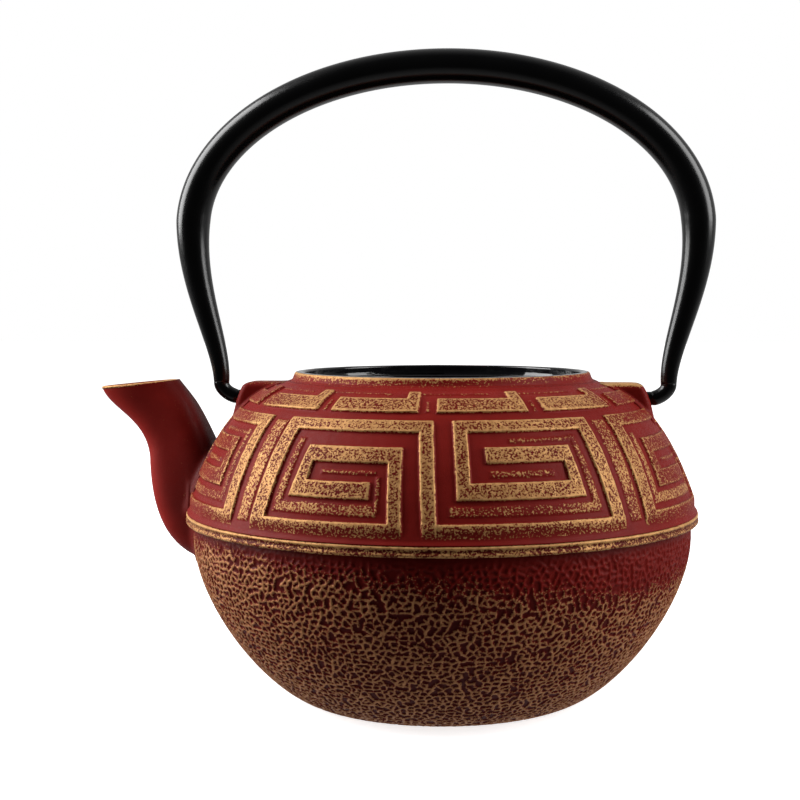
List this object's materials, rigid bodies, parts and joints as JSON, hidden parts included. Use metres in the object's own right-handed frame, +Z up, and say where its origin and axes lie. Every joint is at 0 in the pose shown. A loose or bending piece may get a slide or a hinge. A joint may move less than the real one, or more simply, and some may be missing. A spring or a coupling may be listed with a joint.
{
  "type": "cast iron teapot",
  "caption": "Squat round cast iron teapot with a girdle flange, side spout, open mouth, pebbled bowl, key-patterned shoulder and a swinging tubular bail handle.",
  "frame": {"origin": "centre of the base, on the surface that the pot stands on", "axes": "+Z up; the spout points along -X; the bail swings about a line along X through both ears"},
  "size_m": [0.1917, 0.1584, 0.1996],
  "materials": {
    "painted_iron": "cast iron under matt brick-red paint, dry-brushed with gold on the raised pattern",
    "gold_wash": "cast iron under matt brick-red paint with a worn gold wash",
    "enamel": "glossy black vitreous enamel",
    "black_steel": "semi-gloss black lacquer on steel"
  },
  "bodies": {
    "pot": {"bowl": "painted_iron", "girdle_flange": "gold_wash", "shoulder": "painted_iron", "neck_collar": "painted_iron", "enamel_lining": "enamel", "spout": "painted_iron", "spout_side_ear": "painted_iron", "back_ear": "painted_iron"},
    "bail": {"bail_tube": "black_steel", "spout_side_hook": "black_steel", "back_hook": "black_steel"}
  },
  "joints": [
    {"name": "bail_swing", "type": "hinge", "parent": "pot", "child": "bail", "pos_m": [0, 0, 0.0924], "axis": [1, 0, 0], "range_deg": [-120, 120]}
  ]
}
